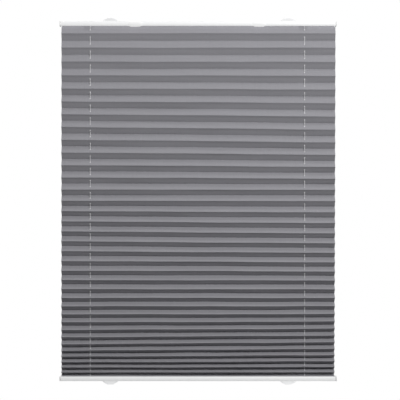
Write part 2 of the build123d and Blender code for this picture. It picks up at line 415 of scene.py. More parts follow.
# %% Surround
glow_below = 0.33
glow_above = 0.0
white = (1.0, 1.0, 1.0, 1.0)
world = bpy.data.worlds.new("surround")
world.use_nodes = True
bpy.context.scene.world = world
surround = Wiring(world.node_tree)
direction = surround.node("ShaderNodeTexCoord", {}, {}, "Generated")
upward = surround.node("ShaderNodeSeparateXYZ", {}, {0: direction}, "Z")
fade = {"Value": upward, "From Min": -1.0, "To Min": glow_below, "To Max": glow_above}
strength = surround.node("ShaderNodeMapRange", {}, fade, "Result")
glow = surround.node("ShaderNodeBackground", {}, {"Strength": strength})
ground = surround.node("ShaderNodeBackground", {}, {"Color": white})
seen = surround.node("ShaderNodeLightPath", {}, {}, "Is Camera Ray")
view = surround.node("ShaderNodeMixShader", {}, {0: seen, 1: glow, 2: ground})
surround.node("ShaderNodeOutputWorld", {}, {"Surface": view})
bpy.context.scene.view_settings.view_transform = "Standard"
print("surround nodes:", len(surround.tree.nodes))

# %% [markdown]
# A plain floor lies below the picture's lower edge, for views from higher up. It belongs to the stage
# and not to the blind, and soft light leaves it out, since the surround already glows from below.

# %% Floor
floor_drop = 0.28
floor_reach = 1.6
floor_grain = 3.0
floor_level = bottom_low.z - floor_drop
corner_signs = np.array([(-1, -1), (1, -1), (1, 1), (-1, 1)])
floor_points = np.column_stack([corner_signs * floor_reach, np.full(len(corner_signs), floor_level)])
floor = new_piece("floor", floor_points, [list(range(len(corner_signs)))])
pale = Finish("pale_floor", Roughness=0.6)
pale.drive(Base_Color=pale.blend(pale.cloud(pale.place(), floor_grain), grey(0.8), grey(0.86)))
floor.data.materials.append(pale.material)
floor.visible_diffuse = False
floor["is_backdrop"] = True
print("floor at", round(floor_level, 3))

# %% [markdown]
# ## Finishes of the hard pieces
#
# The rails are stoved white enamel: smooth, with a trace of orange peel. The moulded pieces are one
# kind of plastic each, with the faint mottle of a mould. A plain colour would look like a drawing, and
# a photograph laid on the surface wouldn't fit its shape, so noise on the piece's own axes is used. One
# function makes them all: each finish has its colour, its roughness, how many grains fit in a metre,
# and how deep they are.


# %% Enamel and moulded plastics
broad_share = 1 / 8
fine_detail = 4.0
darker_share = 0.93
broad_roughness = 0.12
fine_roughness = 0.06


def moulded(name, colour, roughness, grain, depth, **constants):
    """Paint or plastic: a broad cloud varies its colour and roughness, and a fine one dents its skin."""
    skin = Finish(name, **constants)
    broad = skin.cloud(skin.place(), grain * broad_share)
    fine = skin.cloud(skin.place(), grain, fine_detail)
    darker = tuple(darker_share * part for part in colour[:3]) + (1.0,)
    skin.drive(
        Base_Color=skin.blend(broad, colour, darker),
        Roughness=roughness + broad_roughness * broad + fine_roughness * fine,
        Normal=skin.relief(fine, depth),
    )
    return skin.material


enamel = moulded("white_enamel", grey(0.94, -0.004), 0.30, 900.0, 0.02 * mm, Coat_Weight=0.2)
cap_plastic = moulded("cap_plastic", grey(0.76), 0.42, 1400.0, 0.03 * mm)
slat_plastic = moulded("slat_plastic", grey(0.78), 0.5, 700.0, 0.04 * mm)
guide_plastic = moulded("guide_plastic", grey(0.72, 0.01), 0.45, 1600.0, 0.03 * mm)
handle_plastic = moulded("handle_plastic", grey(0.94, -0.006), 0.22, 1200.0, 0.02 * mm)
clip_plastic = moulded("clip_plastic", grey(0.93), 0.3, 1100.0, 0.02 * mm)
shoe_plastic = moulded("shoe_plastic", grey(0.80), 0.48, 1300.0, 0.04 * mm)
print("enamel and plastics done")

# %% [markdown]
# The springs are bright drawn wire, with fine scratches along it. Wire and cord both follow the piece's
# own map, where the first direction goes round the tube and the second along it, so that the pattern
# turns with the coil.

# %% Spring wire
scratches_round = 3000.0
scratches_along = 60.0
steel_finish = Finish("spring_steel", Metallic=1.0)
around, along = steel_finish.across()
drawn = steel_finish.streaks(around * scratches_round, along * scratches_along)
steel_finish.drive(
    Base_Color=steel_finish.blend(drawn, grey(0.62, -0.01), grey(0.42)),
    Roughness=0.22 + 0.2 * drawn,
)
print("spring wire done")

# %% [markdown]
# The cord is a thin white braid: two sets of yarns climb round it, one to each side. Real yarns would
# be thousands of tiny tubes. Two sine waves that cross do the same at this size: where both are high or
# both are low, a yarn stands out. The colour is darker in the grooves between the yarns: painted shade.

# %% Braided cord
cord_radius = 0.4 * mm
braid_pitch = 0.9 * mm
braid_depth = 0.08 * mm
braid_starts = 2
braid_finish = Finish("cord_braid", Roughness=0.75, Sheen_Weight=0.2)
around, along = braid_finish.across()
turn = around / cord_radius
climb_one = (braid_starts * turn + along * (2 * math.pi / braid_pitch)).sine()
climb_two = (braid_starts * turn - along * (2 * math.pi / braid_pitch)).sine()
plait = 0.5 + 0.5 * climb_one * climb_two
braid_finish.drive(
    # Painted shade: the colour follows the plait's height, darker in the grooves between the yarns.
    Base_Color=braid_finish.blend(plait, grey(0.85), grey(0.98)),
    Normal=braid_finish.relief(plait, braid_depth),
)
print("hard finishes:", len(bpy.data.materials))

# %% [markdown]
# ## The cloth's finish
#
# The cloth is a plain grey polyester with a fine, even weave. Its map is in metres across and down the
# flat cloth, so the weave runs true over every fold, which a pattern in space wouldn't do. Warp and
# weft pass over each other by turns: over is 1 on the squares of a chessboard where the warp lies on
# top. The colour follows the yarns' height, darker in the gaps between them: that part is painted
# shade. A slow streak along each set of yarns keeps it from looking printed.

# %% Woven cloth
yarn = 0.42 * mm
yarn_depth = 0.12 * mm
yarn_strength = 0.6
streak_along = 8.0
streak_across = 1200.0
cloth_dark = (0.200, 0.198, 0.2135, 1.0)
cloth_light = (0.315, 0.311, 0.336, 1.0)
cloth_finish = Finish("woven_cloth", Roughness=0.9, Sheen_Weight=0.08, Sheen_Roughness=0.6)
side, down = cloth_finish.across()
warp = (side * (math.pi / yarn)).sine()
weft = (down * (math.pi / yarn)).sine()
over = warp * weft > 0.0
weave = over * warp.size() + (1 - over) * weft.size()
weft_streak = cloth_finish.streaks(side * streak_along, down * streak_across)
warp_streak = cloth_finish.streaks(side * streak_across, down * streak_along)
# Painted shade: the weave's share darkens the gaps between the yarns. The two streaks are the yarns' own
# tone.
yarn_tone_and_gap_shade = 0.35 * weave + 0.35 * weft_streak + 0.3 * warp_streak
cloth_finish.drive(
    Base_Color=cloth_finish.blend(yarn_tone_and_gap_shade, cloth_dark, cloth_light),
    Normal=cloth_finish.relief(weave, yarn_depth, yarn_strength),
)
print("yarns per cm:", round(10 * mm / yarn, 1))

# %% [markdown]
# ## The pleated cloth: where the creases are
#
# This is the heart of the blind. A long flat cloth is pressed into equal flaps. Hung between the rails,
# each pleat carries the cloth below it, so the top ones are pulled nearly flat and the bottom ones stay
# almost closed. Gravity could be simulated, but the rule is simple enough to write down: a flap climbs
# a share of its own length, and that share falls from top to bottom. The photograph adds a slow sway in
# the spacing, and places where the folds slope down to one side.

# %% Crease lines
flap_length = 20.0 * mm
top_flap_tilt = math.radians(67.4)
bottom_flap_tilt = math.radians(17.1)
climb_power = 0.93
glue_line = 4.0 * mm
first_sway = (1.08 * mm, 2.24, -0.42)
second_sway = (0.57 * mm, 3.42, 3.12)


def crease_line():
    """The (y, z) of every crease at the middle of the blind, from the back of the top slat down.

    Climb is the flat share plus what is left of the steep one, as (1 - share down) to climb_power. The
    flap length is trimmed to fill the height. Two sines in the crease number sway the spacing: each
    has its size, its number of waves from top to bottom and the angle that it starts at."""
    steep, flat = math.sin(top_flap_tilt), math.sin(bottom_flap_tilt)
    height = cloth_high.z - cloth_low.z
    mean_climb = flat + (steep - flat) / (climb_power + 1)
    count = 2 * round((height / (flap_length * mean_climb) - 1) / 2) + 1
    climb = flat + (steep - flat) * (1 - (np.arange(count) + 0.5) / count) ** climb_power
    length = height / climb.sum()
    depth = length * np.sqrt(1 - climb**2)
    z = cloth_high.z - length * np.concatenate([[0], np.cumsum(climb)])
    y = depth[0] / 2 - np.concatenate([[0], np.cumsum(depth * (-1) ** np.arange(count))])
    y[0], y[-1] = glue_line, -glue_line
    turn = np.arange(count + 1) / count
    for size, waves, start in (first_sway, second_sway):
        swing = np.sin(2 * math.pi * waves * turn + start)
        z += size * (swing - swing[0] - (swing[-1] - swing[0]) * turn)
    return np.stack([y, z], 1), length


creases, flap = crease_line()
flap_count = len(creases) - 1
print("flaps:", flap_count, "of", round(flap / mm, 2), "mm")

# %% [markdown]
# ### Columns and rows
#
# The sheet is a grid: columns across the blind, rows down the cloth. Round each cord the grid has a
# small block of cells that is left out, and the block's edge is pushed onto an oval. That is how a
# punched hole gets a clean edge without cutting the mesh. It is long down the flap, so that the cord
# passes a steep flap without touching it. Where the holes are comes from the cords' nodes.

# %% The columns
punch_width = 1.4 * mm
punch_length = 4.0 * mm
hole_room = 6.0 * mm
plain_columns = 36
block_points = 5
cord_low, cord_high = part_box("right_cord")
cord_x = (cord_low.x + cord_high.x) / 2
block = np.linspace(-1, 1, block_points)
beside = np.array([-5.0, -2.2, 2.2, 5.0]) * mm

columns = np.linspace(cloth_low.x, cloth_high.x, plain_columns)
near_cord = np.abs(np.abs(columns) - cord_x) < hole_room
columns = columns[~near_cord]
for cord in (-cord_x, cord_x):
    columns = np.concatenate([columns, cord + block * punch_width / 2, cord + beside])
columns = np.sort(columns)
print("columns:", len(columns))

# %% The rows
crease_steps = 5
above_hole = np.array([0.12, 0.24, 0.35])
hole_shares = 0.5 + block * punch_length / 2 / flap
below_hole = np.array([0.65, 0.76, 0.88])
flap_shares = np.concatenate([above_hole, hole_shares, below_hole])
rows_per_flap = len(flap_shares) + crease_steps
print("rows:", rows_per_flap * flap_count)

# %% [markdown]
# ### A cloth that isn't ruled with a pencil
#
# Each crease wanders a little along its length, and no two wander alike, but neighbours are pressed
# together and resemble each other: the phase of each wave drifts from crease to crease. All of it fades
# at one crease near the middle, where the sheet is parted in two. In three places the photograph's
# folds also lie lower at one end.

# %% Waves along the creases
parting = 26
upper_slope = (7.1 * mm, -287 * mm, 124 * mm)
middle_slope = (5.3 * mm, -550 * mm, 87 * mm)
lower_slope = (-5.2 * mm, -814 * mm, 55 * mm)
calm = 25 * mm
wave_height = 0.28 * mm
wave_depth = 0.45 * mm
wave_turns = np.array([1.3, 2.9, 5.7])
wave_share = np.array([1.0, 0.6, 0.3])
phase_drift = 0.9
wave_seed = 17
rng = np.random.default_rng(wave_seed)


def drifting_waves(count, x):
    """A sum of three sines along x for each crease, with phases that drift by a random walk."""
    waves = len(wave_turns)
    phase = rng.uniform(0, 2 * math.pi, waves) + np.cumsum(rng.normal(0, phase_drift, (count, waves)), 0)
    turns = 2 * math.pi * wave_turns * (x[:, None] - x[0]) / (x[-1] - x[0])
    return (wave_share * np.sin(turns[None] + phase[:, None])).sum(-1)


def crease_net(x):
    """Every crease at every column: the middle line, plus slopes from side to side and small waves.

    A slope lowers the right end and lifts the left one by half its fall each, times a bell curve
    exp(-((z - level) / reach)^2) round its level."""
    middle, z = creases[:, None, :], creases[:, 1]
    slopes = (upper_slope, middle_slope, lower_slope)
    drop = sum(fall * np.exp(-(((z - level) / reach) ** 2)) for fall, level, reach in slopes)
    fade = 1 - np.exp(-(((z - z[parting]) / calm) ** 2))
    ends = np.minimum(1, np.minimum(z[0] - z, z - z[-1]) / calm)
    share = (x - rail_middle) / (x[-1] - x[0])
    net = np.repeat(middle, len(x), 1)
    net[..., 1] -= (drop * fade * ends)[:, None] * share
    net[..., 1] += wave_height * (fade * ends)[:, None] * drifting_waves(len(z), x)
    net[..., 0] += wave_depth * ends[:, None] * drifting_waves(len(z), x)
    return net


net = crease_net(columns)
print("crease net:", net.shape)

# %% [markdown]
# ### From creases to a folded sheet
#
# Between two creases the flap is nearly flat, with a slight belly. At each crease the cloth turns in a
# parabola. A closed pleat needs a longer one, because a cloth of some thickness can't fold to nothing.
# The corner that steers the parabola is pushed out, so that its tip still touches the crease line. A
# bevel on a sharp fold would look alike, but it would upset the rows that the holes are made from.

# %% The sheet's middle surface
cloth_thickness = 0.35 * mm
fold_radius = 0.1 * mm
shortest_turn = 0.35 * mm
longest_turn = 1.2 * mm
curl = 0.3 * mm
sag = 0.15 * mm
belly = 0.25 * mm


def unit(vector):
    """The vector divided by its own length."""
    return vector / np.linalg.norm(vector, axis=-1, keepdims=True)


def fold_reach(net):
    """How far from its corner each fold starts: radius * cos / sin^2 of half the angle between flaps."""
    up, below = unit(net[:-2] - net[1:-1]), unit(net[2:] - net[1:-1])
    cosine = np.sqrt(np.clip((1 + (up * below).sum(-1)) / 2, 0, 1))
    reach = np.clip(fold_radius * cosine / (1 - cosine**2), shortest_turn, longest_turn)
    return reach, up + below


def folded_sheet(net):
    """Rows of (y, z) at every column: the crease's parabola, then the flap below it, for each flap.

    The rows of a flap are crease plus share times the way to the next crease, moved along the flap's
    normal. A sag to the back follows 4 share (1 - share). A curl follows the sine of a whole turn: it
    lifts the first half of the flap and lowers the second, so each crease closes tighter."""
    reach, inward = fold_reach(net)
    corners = net.copy()
    corners[1:-1] -= reach[..., None] * inward / 4
    bends = soft_corners(corners[:-2], corners[1:-1], corners[2:], reach, crease_steps)
    rows = []
    sags = sag + belly * drifting_waves(flap_count, columns)
    share = flap_shares[:, None, None]
    for i in range(flap_count):
        way = corners[i + 1] - corners[i]
        normal = unit(np.stack([way[:, 1], -way[:, 0]], -1))
        lift = curl * (-1) ** i * np.sin(2 * math.pi * share) - sags[i][:, None] * 4 * share * (1 - share)
        rows.append(corners[i] + share * way + lift * normal)
        if i < flap_count - 1:
            rows.append(bends[:, i])
    return np.concatenate([corners[:1], *rows, corners[-1:]])


middle_rows = folded_sheet(net)
print("sheet rows:", middle_rows.shape)

# %% [markdown]
# ### Holes
#
# The points of each block's edge move onto the punch's oval, and the cells inside are left out. Beyond
# the cords the sheet is a little wider than its node, as the photograph's edges are, except within the
# rails, which hold it.

# %% Punched
left_spread = 0.7 * mm
right_spread_top = 3.0 * mm
rail_hold = 2.5 * mm


def widened():
    """The x of every point. Beyond each cord the spread grows evenly to the sheet's edge: on the left
    it is the same at all heights, and on the right it falls evenly from the top to nothing below."""
    x = np.tile(columns, (len(middle_rows), 1))
    z = middle_rows[..., 1]
    free = np.clip(np.minimum(cloth_high.z - z, z - cloth_low.z) / rail_hold, 0, 1)
    right_spread = right_spread_top * np.linspace(1, 0, len(middle_rows))[:, None]
    right, left = columns > cord_x + hole_room, columns < -cord_x - hole_room
    x += right * free * right_spread * (columns - cord_x) / (columns[-1] - cord_x)
    x -= left * free * left_spread * (columns + cord_x) / (columns[0] + cord_x)
    return x


def punched():
    """The (x, y, z) of the whole grid, and which cells are cloth.

    A point of a block's edge, at angle a from the hole's middle, moves to half the width times cos a
    across and half the length times sin a down the flap."""
    points = np.concatenate([widened()[..., None], middle_rows], -1)
    cells = np.ones((len(middle_rows) - 1, len(columns) - 1), bool)
    down, across = np.meshgrid(block, block, indexing="ij")
    edge = np.maximum(abs(down), abs(across)) == 1
    angle = np.arctan2(down, across)
    shift_down = np.where(edge, np.sin(angle) - down, 0) * punch_length / 2
    shift_across = np.where(edge, np.cos(angle) - across, 0) * punch_width / 2
    for i in range(flap_count):
        top = 1 + i * rows_per_flap + len(above_hole)
        for cord in (-cord_x, cord_x):
            left = np.argmin(abs(columns - (cord - punch_width / 2)))
            patch = points[top : top + block_points, left : left + block_points]
            way = unit(patch[-1, block_points // 2] - patch[0, block_points // 2])
            patch += shift_down[..., None] * way
            patch[..., 0] += shift_across
            cells[top : top + block_points - 1, left : left + block_points - 1] = False
    return points, cells


points, cells = punched()
print("cells punched out:", int((~cells).sum()))

# %% [markdown]
# ### Thickness
#
# One skin goes on each side of the middle surface, and a narrow strip runs along every open edge, holes
# included. A Solidify modifier would do this too, but here the flat length of the cloth is measured on
# the same rows, and becomes its map in metres.


# %% Thickened
def thick_sheet(points, cells, normals):
    """Two skins, half the thickness to each side, joined along every edge that only one cell has."""
    rows, across = points.shape[:2]
    r, c = np.nonzero(cells)
    corner = r * across + c
    front = np.stack([corner, corner + across, corner + across + 1, corner + 1], 1)
    used, front = np.unique(front, return_inverse=True)
    front = front.reshape(-1, 4)
    count = len(used)
    edges = np.stack([front, np.roll(front, -1, 1)], -1).reshape(-1, 2)
    _, first, shared = np.unique(np.sort(edges, 1), axis=0, return_index=True, return_counts=True)
    open_edges = edges[first[shared == 1]]
    strip = np.concatenate([open_edges[:, ::-1], open_edges + count], 1)
    faces = np.concatenate([front, front[:, ::-1] + count, strip])
    flat, normal = points.reshape(-1, 3)[used], normals.reshape(-1, 3)[used]
    half = cloth_thickness / 2 * normal
    return np.concatenate([flat + half, flat - half]), faces, used


normals = unit(np.cross(np.gradient(points, axis=0), np.gradient(points, axis=1)))
developed = np.linalg.norm(np.diff(points[:, 0], axis=0), axis=-1)
developed = np.concatenate([[0], np.cumsum(developed)])
flat_map = np.stack(np.broadcast_arrays(points[..., 0], -developed[:, None]), -1)
print("flat length of the cloth in m:", round(float(developed[-1]), 3))

# %% [markdown]
# ### The parting
#
# When a rail slides, its side of the cloth folds up. Here each side is one sheet, and the two sheets
# meet at the parting crease. Bones for every flap would fold truer, but the flaps of a packed blind lie
# so close that only its height shows.

# %% Parted in two sheets
crisp_crease = 60.0
last_row_of_crease = parting * rows_per_flap
cut = last_row_of_crease + 1 - crease_steps + crease_steps // 2


def cloth_part(name, start, stop):
    """One side of the parting crease: a thickened sheet with the cloth's finish, riding with the cords."""
    shell, faces, used = thick_sheet(points[start:stop], cells[start : stop - 1], normals[start:stop])
    uv = flat_map[start:stop].reshape(-1, 2)[used]
    part = new_piece(name, shell, faces.tolist(), np.concatenate([uv, uv]), crisp_crease)
    part.data.materials.append(cloth_finish.material)
    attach(part, "cord_set")
    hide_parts("pleated_cloth")
    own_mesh(part)
    length = float(developed[stop - 1] - developed[start])


cloth_part("upper_cloth", 0, cut + 1)
cloth_part("lower_cloth", cut, len(points))

# %% [markdown]
# ## The rails
#
# A rail is an aluminium extrusion, so its shape is one outline pushed along a line. The outline is the
# drawing's: two lipped channels back to back, and a front and back that are slightly bowed. Only the
# corners are new. A Bevel modifier could soften them, but it would also cut the ends, which are sawn
# square under the caps.

# %% Rail outline
rail_wall = 1.1 * mm
lip_reach = 1.4 * mm
lip_thickness = 1.0 * mm
outer_depth = 6.0 * mm
web_thickness = 1.0 * mm
rail_softness = 0.3 * mm
channel_half = rail_edge - rail_wall
slot_half = channel_half - lip_reach
slat_seat = rail_height - lip_thickness
web_bottom = outer_depth + web_thickness


def bowed(side, start, stop, bow=rail_bow, steps=11):
    """The bowed front (side -1) or back (side 1) between two levels: the bow follows 1 - share^2."""
    share = np.linspace(-1, 1, steps)
    level = (start + stop) / 2 + (stop - start) / 2 * share
    middle = -rail_height / 2
    return [(side * (rail_edge + bow * (1 - ((z - middle) / middle) ** 2)), z) for z in level]


def rail_outline():
    """The section from its outer edge at z = 0 down, clockwise round from the back lip."""
    inner, lip, wall = slot_half, lip_thickness, channel_half
    outer_channel = [(-inner, 0), (-inner, -lip), (-wall, -lip), (-wall, -outer_depth)]
    outer_channel += [(-y, z) for y, z in outer_channel[::-1]]
    inner_channel = [(inner, -rail_height), (inner, -slat_seat), (wall, -slat_seat), (wall, -web_bottom)]
    inner_channel += [(-y, z) for y, z in inner_channel[::-1]]
    return outer_channel + bowed(1, 0, -rail_height) + inner_channel + bowed(-1, -rail_height, 0)


outline = soft_outline(rail_outline(), rail_softness)
print("points of the rail's outline:", len(outline))

# %% [markdown]
# The outline is made once, for a rail whose outer edge is at z = 0. The bottom rail is the top one
# turned over, so the same points serve both, and so do those of the caps and the grip tabs. Placing a
# piece always takes the same steps, so one function does them: it makes the mesh on the right rail,
# gives it its finish, lets it ride on its rail and says which plain node it stands for.


# %% Carried along a rail, and placed on it
def carried(outline, stations):
    """The outline at each x of the stations, as rings for ring_faces."""
    rings = np.repeat(outline[None], len(stations), 0)
    x = np.repeat(np.asarray(stations, float)[:, None], outline.shape[0], 1)
    return np.concatenate([x[..., None], rings], -1)


def at_rail(points, rail):
    """Points made for a rail whose outer edge is z = 0, put on the top or the bottom rail.

    The bottom rail is the top one turned over about its length, as a mirror in z that also swaps the
    order of the corners; turned() below puts the faces right again."""
    points = np.reshape(points, (-1, 3)).copy()
    if rail == "top":
        points[:, 2] += rail_high.z
    else:
        points[:, 2] = bottom_low.z - points[:, 2]
    return points


def turned(faces, rail):
    """The faces as they are for the top rail, and with their corners in reverse for the bottom one."""
    return faces if rail == "top" else [face[::-1] for face in faces]


def on_rail(name, rail, shape, finish, uv=None, crisp=35.0):
    """A finished piece that stands for the node of the same name, riding on its rail."""
    shape_points, shape_faces = shape
    piece = new_piece(f"{name}_shown", at_rail(shape_points, rail), turned(shape_faces, rail), uv, crisp)
    piece.data.materials.append(finish)
    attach(piece, f"{rail}_rail")
    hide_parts(name)
    return piece


print("a piece can be placed on either rail")

# %% [markdown]
# Each rail has two round holes in its web, where the cord guides are pressed in. A hole could be part of
# a grid, as in the cloth, but a flat web with few points is quicker to drill: a Boolean takes two
# cylinders out of it.

# %% Rails
guide_hole_radius = 2.25 * mm
hole_sides = 48
rail_ends = (rail_low.x, rail_high.x)


def drill_bits(rail):
    """Two upright cylinders through the web, one for each cord guide: cos a and sin a times the radius."""
    a = np.linspace(0, 2 * math.pi, hole_sides, endpoint=False)
    rim = guide_hole_radius * np.stack([np.cos(a), np.sin(a)], 1)
    levels = np.array([-web_bottom - web_thickness, -outer_depth + web_thickness])
    bits = []
    for x in (-cord_x, cord_x):
        rings = np.stack([np.column_stack([rim + (x, 0), np.full(hole_sides, z)]) for z in levels])
        bits.append((rings, ring_faces(len(levels), hole_sides)))
    bit_points, bit_faces = joined(*bits)
    return new_piece("drill_bits", at_rail(bit_points, rail), turned(bit_faces, rail))


def drilled(piece, bits):
    """Takes the bits out of a piece with a Boolean, whose result becomes the piece's own mesh."""
    drill = piece.modifiers.new("drill", "BOOLEAN")
    drill.object = bits
    shape = piece.evaluated_get(bpy.context.evaluated_depsgraph_get())
    piece.data = bpy.data.meshes.new_from_object(shape)
    piece.modifiers.clear()
    bpy.data.objects.remove(bits)


for rail in rail_words:
    rings = carried(outline, rail_ends)
    piece = on_rail(f"{rail}_rail", rail, (rings, ring_faces(*rings.shape[:2])), enamel)
    drilled(piece, drill_bits(rail))
    print(piece.name, "faces:", len(piece.data.polygons))

# %% [markdown]
# ## End caps
#
# A cap closes each end: a small moulding with the rail's silhouette, rounded over at its outer edge,
# with two prongs that push into the outer channel. A cube with bevels would come near it, but the round
# edge has to follow the bowed front, so it is the same outline, set in along a quarter circle.

# %% End caps
cap_thickness = 3.5 * mm
cap_rounding = 0.9 * mm
cap_softness = 1.1 * mm
prong_length = 12.0 * mm
prong_width = 2.6 * mm
prong_softness = 0.4 * mm
clearance = 0.1 * mm
rounding_steps = 6


def silhouette():
    """The rail's outline without its channels."""
    return soft_outline(bowed(1, 0, -rail_height) + bowed(-1, -rail_height, 0), cap_softness, rounding_steps)


def rounded_end(outline, thickness, rounding):
    """Rings from x = 0 to the thickness.

    Over the last stretch the outline is set in along a quarter circle: at angle a it is at
    thickness - rounding (1 - sin a), set in by rounding (1 - cos a)."""
    angle = np.linspace(0, math.pi / 2, rounding_steps)
    stations = np.concatenate([[0], thickness - rounding * (1 - np.sin(angle))])
    insets = np.concatenate([[0], rounding * (1 - np.cos(angle))])
    rings = carried(outline, stations)
    rings[..., 1:] = np.stack([inset(outline, distance) for distance in insets])
    return rings, ring_faces(*rings.shape[:2])


def prong(side):
    """A bar in the outer channel, from the cap inwards, with its far end rounded over."""
    low, high = -outer_depth + clearance, -lip_thickness - clearance
    outer = side * (channel_half - clearance)
    inner = outer - side * prong_width
    bar = soft_outline([(outer, high), (inner, high), (inner, low), (outer, low)], prong_softness)
    rings, faces = rounded_end(bar, prong_length, cap_rounding / 2)
    rings[..., 0] *= -1
    return rings, [face[::-1] for face in faces]


def end_cap(side):
    """The plate and its prongs at the left (side -1) or right (side 1) end."""
    shape, faces = joined(rounded_end(silhouette(), cap_thickness, cap_rounding), prong(-1), prong(1))
    end = rail_ends[1] if side > 0 else rail_ends[0]
    shape[:, 0] = end + side * shape[:, 0]
    return shape, faces if side > 0 else [face[::-1] for face in faces]


for rail in rail_words:
    for side, word in zip((-1, 1), side_words):
        on_rail(f"{rail}_cap_{word}", rail, end_cap(side), cap_plastic)
print("end caps done")

# %% [markdown]
# ## Grip tabs and clips
#
# Both are thin mouldings: a side outline as wide as its level asks. They could be cut from a block, but
# their edges would then be sharp. So a ring of the side outline is carried across from -1 to 1, and
# each of its points goes out to the half width at its own height. The last stretch is set in, which
# rounds the thin edge.

# %% A moulding with a side outline
crisp_moulding = 50.0


def moulding(outline, half_width, rounding, belly=None, rings_across=25):
    """Rings of a side outline from one side of a piece to the other.

    At core share s from -1 to 1, a point at level z lies at x = s (half_width(z) - rounding). Beyond
    that, at angle a of a quarter circle, it lies rounding * cos a further out and is set in by
    rounding (1 - sin a). The belly bows the front forward by belly(z) times 1 - s^2."""
    angle = np.linspace(0, math.pi / 2, rounding_steps)[:-1]
    core = np.linspace(-1, 1, rings_across)
    share = np.concatenate([np.full(len(angle), -1), core, np.full(len(angle), 1)])
    set_in = rounding * (1 - np.sin(angle))
    out = rounding * np.cos(angle)
    set_in = np.concatenate([set_in, np.zeros(rings_across), set_in[::-1]])
    out = np.concatenate([-out, np.zeros(rings_across), out[::-1]])
    rings = np.stack([inset(outline, distance) for distance in set_in])
    y, z = rings[..., 0], rings[..., 1]
    x = share[:, None] * (half_width(z) - rounding) + out[:, None]
    if belly is not None:
        y = y - belly(z) * (1 - share[:, None] ** 2)
    return np.stack([x, y, z], -1), ring_faces(*x.shape)


def put_on(name, rail, shape, faces, finish):
    """A moulding made at x = 0, moved to the middle of the node that it stands for."""
    low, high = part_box(name)
    middle = np.array([(low.x + high.x) / 2, 0, 0])
    on_rail(name, rail, (shape + middle, faces), finish, crisp=crisp_moulding)


print("mouldings can be made")

# %% [markdown]
# A grip tab is what a hand takes to slide the rail. Its foot hooks under the lip of the outer channel,
# and outside the rail it is a half moon that bellies forward a little, so that a finger finds it.

# %% Grip tabs
tab_width = 37.0 * mm
tab_tip_width = 15.0 * mm
tab_height = 8.2 * mm
tab_thickness = 1.5 * mm
tab_lean = 0.8 * mm
tab_foot = 3.2 * mm
tab_rounding = 0.45 * mm
tab_belly = 0.35 * mm
tab_softness = 0.35 * mm
tab_taper = 1.35


def tab_outline():
    """The foot under the front lip, the stem through the slot, the bridge over the lip and the tab."""
    lip_low = -lip_thickness - clearance
    foot_low = lip_low - tab_thickness
    stem_front = -slot_half + clearance
    stem_back = stem_front + tab_thickness
    bridge_high = clearance + tab_thickness
    front, back = -rail_edge, -rail_edge + tab_thickness
    tip_low = tab_height - tab_thickness / 2
    corners = [(stem_front - lip_reach, foot_low), (stem_front + tab_foot, foot_low)]
    corners += [(stem_front + tab_foot, lip_low), (stem_back, lip_low), (stem_back, bridge_high)]
    corners += [(back, bridge_high), (back, tab_height / 2), (back - tab_lean, tip_low)]
    corners += [(back - tab_lean, tab_height), (front - tab_lean, tab_height), (front, tab_height / 2)]
    corners += [(front, clearance), (stem_front, clearance), (stem_front, lip_low)]
    return soft_outline(corners + [(stem_front - lip_reach, lip_low)], tab_softness)


def tab_half_width(z):
    """Full width up to the bridge, then narrower: the width lost grows as the climb to tab_taper."""
    base = clearance + tab_thickness
    climb = np.clip((z - base) / (tab_height - base), 0, 1)
    return tab_width / 2 - (tab_width - tab_tip_width) / 2 * climb**tab_taper


def tab_bow(z):
    """How far the middle bellies forward: it grows evenly from the rail to the tip."""
    return tab_belly * np.clip(z / tab_height, 0, 1)


tab_shape, tab_faces = moulding(tab_outline(), tab_half_width, tab_rounding, tab_bow)
for rail in rail_words:
    for word in side_words:
        put_on(f"{rail}_handle_{word}", rail, tab_shape, tab_faces, handle_plastic)
print("grip tabs done")

# %% [markdown]
# Two clips sit on the front of the top rail, and their lips show just below it. A clip is a bowed
# plate that follows the rail's front, with a leg that springs into the slot of the inner channel.

# %% Clips
clip_width = 34.0 * mm
clip_lip_width = 22.0 * mm
clip_drop = 1.9 * mm
clip_thickness = 0.9 * mm
clip_rounding = 0.35 * mm
clip_softness = 0.2 * mm
clip_rings = 5


def clip_outline():
    """The bowed front of the clip, the lip that turns in under the rail, and the leg behind the lip."""
    inner = rail_edge + clearance
    low = -rail_height - clip_drop
    leg_front = slot_half - clearance
    leg_back = leg_front - clip_thickness
    leg_top = -slat_seat - clearance
    shelf = -rail_height - clearance
    outside = [(y - clearance - clip_thickness, z) for y, z in bowed(-1, -clip_thickness, -rail_height)]
    inside = [(y - clearance, z) for y, z in bowed(-1, -rail_height, -clip_thickness)]
    corners = outside + [(-inner - clip_thickness, low), (-leg_back, low), (-leg_back, leg_top)]
    corners += [(-leg_front, leg_top), (-leg_front, shelf), (-inner, shelf)]
    return soft_outline(corners + inside[1:], clip_softness)


def clip_half_width(z):
    """Full width on the rail's front, then straight in to the lip's width at its lower edge."""
    share = np.clip((-rail_height - z) / clip_drop, 0, 1)
    return clip_width / 2 - (clip_width - clip_lip_width) / 2 * share


clip_shape, clip_faces = moulding(clip_outline(), clip_half_width, clip_rounding, rings_across=clip_rings)
for word in side_words:
    put_on(f"rail_clip_{word}", "top", clip_shape, clip_faces, clip_plastic)
print("clips done")

# %% [markdown]
# ## Springs and cords
#
# Wire and cord are tubes: a circle carried along a path. A Curve object with a round bevel makes a tube
# too, but it gives no map in metres for the braid and the wire's scratches. The straight cords need
# only their two ends, which come from the boxes of their nodes.

# %% Tubes
crisp_tube = 80.0


